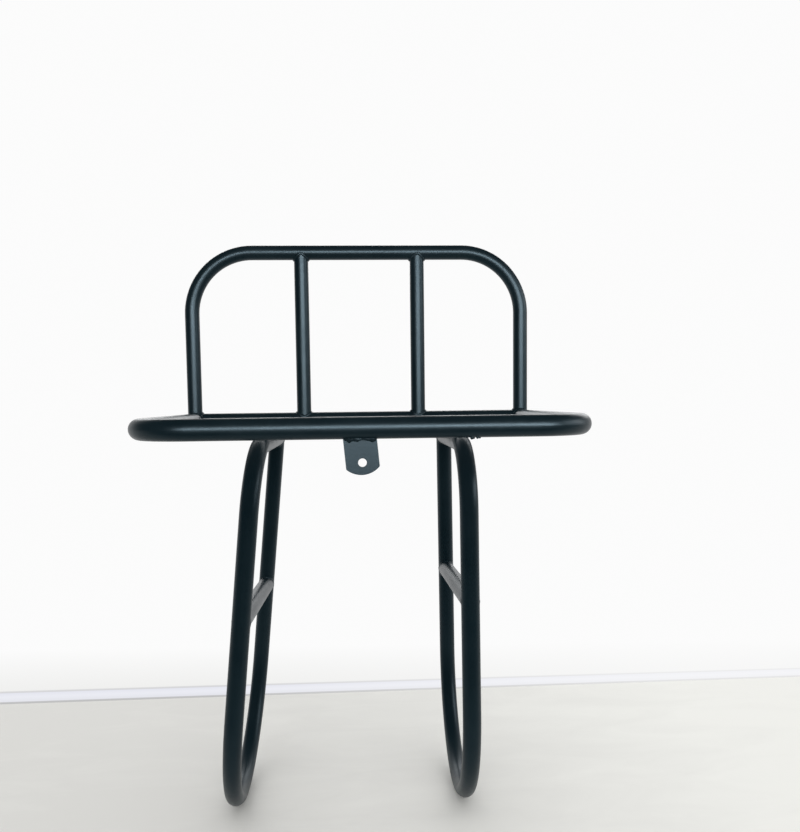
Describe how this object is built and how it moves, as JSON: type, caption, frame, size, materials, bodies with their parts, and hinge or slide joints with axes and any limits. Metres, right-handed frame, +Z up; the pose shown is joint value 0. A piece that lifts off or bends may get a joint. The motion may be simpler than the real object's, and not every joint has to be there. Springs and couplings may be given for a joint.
{
  "type": "luggage rack",
  "caption": "Welded black tubular luggage rack: flat deck, barred hoop backstop, braced side loops reaching down, and a bolt tab under the front rail.",
  "frame": {"origin": "on the floor, under the middle of the deck", "axes": "+Z up; -Y is the open front of the deck, with the mounting tab, and +Y is the backstop; +X is the right-hand side seen from the front"},
  "size_m": [0.3926, 0.321, 0.556],
  "materials": {
    "powder_coat": "satin black powder coat with a faint blue-green cast",
    "coated_weld": "satin black powder coat over rippled weld beads"
  },
  "bodies": {
    "root": {"deck_front_tube": "powder_coat", "deck_rear_rail": "powder_coat", "cross_tube_front": "powder_coat", "cross_tube_rear": "powder_coat", "backstop_hoop": "powder_coat", "backstop_bar_left": "powder_coat", "backstop_bar_right": "powder_coat", "side_loop_left": "powder_coat", "side_loop_right": "powder_coat", "loop_brace_left": "powder_coat", "loop_brace_right": "powder_coat", "mounting_tab": "powder_coat", "weld_deck_corner_left": "coated_weld", "weld_deck_corner_right": "coated_weld", "weld_bar_foot_left": "coated_weld", "weld_bar_foot_right": "coated_weld", "weld_bar_top_left": "coated_weld", "weld_bar_top_right": "coated_weld", "weld_cross_front_left": "coated_weld", "weld_cross_front_right": "coated_weld", "weld_cross_rear_left": "coated_weld", "weld_cross_rear_right": "coated_weld", "weld_run_front_left": "coated_weld", "weld_run_front_right": "coated_weld", "weld_run_rear_left": "coated_weld", "weld_run_rear_right": "coated_weld", "weld_loop_close_left": "coated_weld", "weld_loop_close_right": "coated_weld", "weld_brace_front_left": "coated_weld", "weld_brace_front_right": "coated_weld", "weld_brace_rear_left": "coated_weld", "weld_brace_rear_right": "coated_weld", "weld_tab": "coated_weld"}
  },
  "joints": []
}
